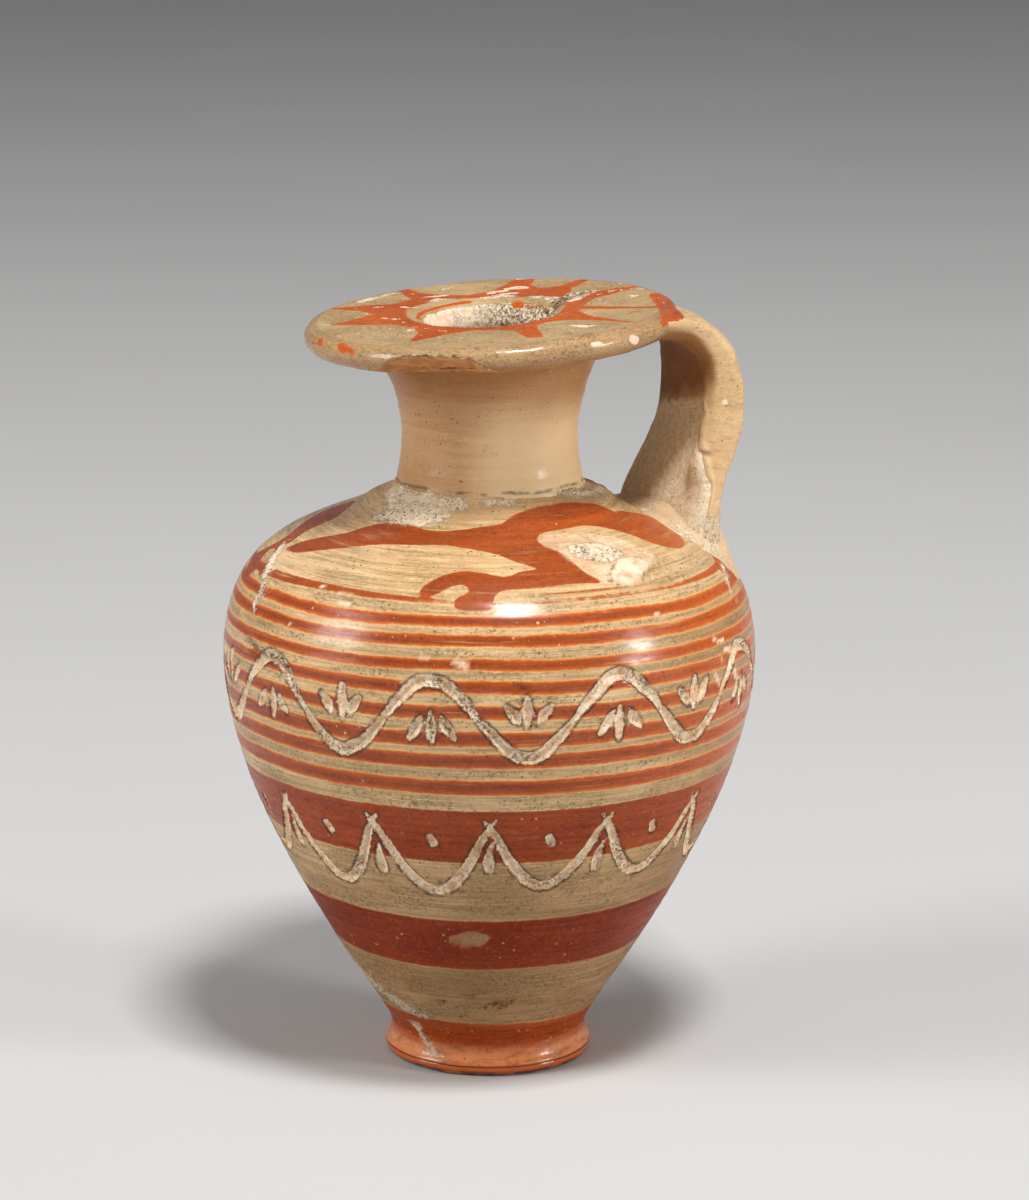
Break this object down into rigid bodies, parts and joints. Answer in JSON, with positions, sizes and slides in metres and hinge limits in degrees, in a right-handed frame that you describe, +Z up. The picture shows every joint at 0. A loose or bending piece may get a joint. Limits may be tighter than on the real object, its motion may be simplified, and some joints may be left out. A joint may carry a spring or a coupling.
{
  "type": "aryballos flask",
  "caption": "Small wheel-made ceramic oil flask: ovoid body on a ring foot, waisted neck, flat mouth disc and a strap handle from lip to shoulder.",
  "frame": {"origin": "middle of the flat ring on which the foot stands, on the axis of the pot", "axes": "+Z up along the axis of the pot, out of the mouth; +X towards the strap handle; the picture looks from -Y, 18 degrees round towards -X"},
  "size_m": [0.0352, 0.0352, 0.051],
  "materials": {
    "buff_clay": "fine buff clay, wheel-smoothed and fired, dull satin with dark specks",
    "banded_clay": "buff clay with bands and figures of orange-red to brown slip, satin, slip slightly glossy",
    "rayed_clay": "buff clay with a ring and rays of orange-red slip, satin, worn at the lip",
    "red_slip": "orange-red slip over buff clay, satin gloss, worn at the edge"
  },
  "bodies": {
    "root": {"foot_ring": "red_slip", "body": "banded_clay", "neck": "buff_clay", "neck_coil": "buff_clay", "mouth_disc": "rayed_clay", "root_pad": "buff_clay", "strap_handle": "buff_clay"}
  },
  "joints": []
}
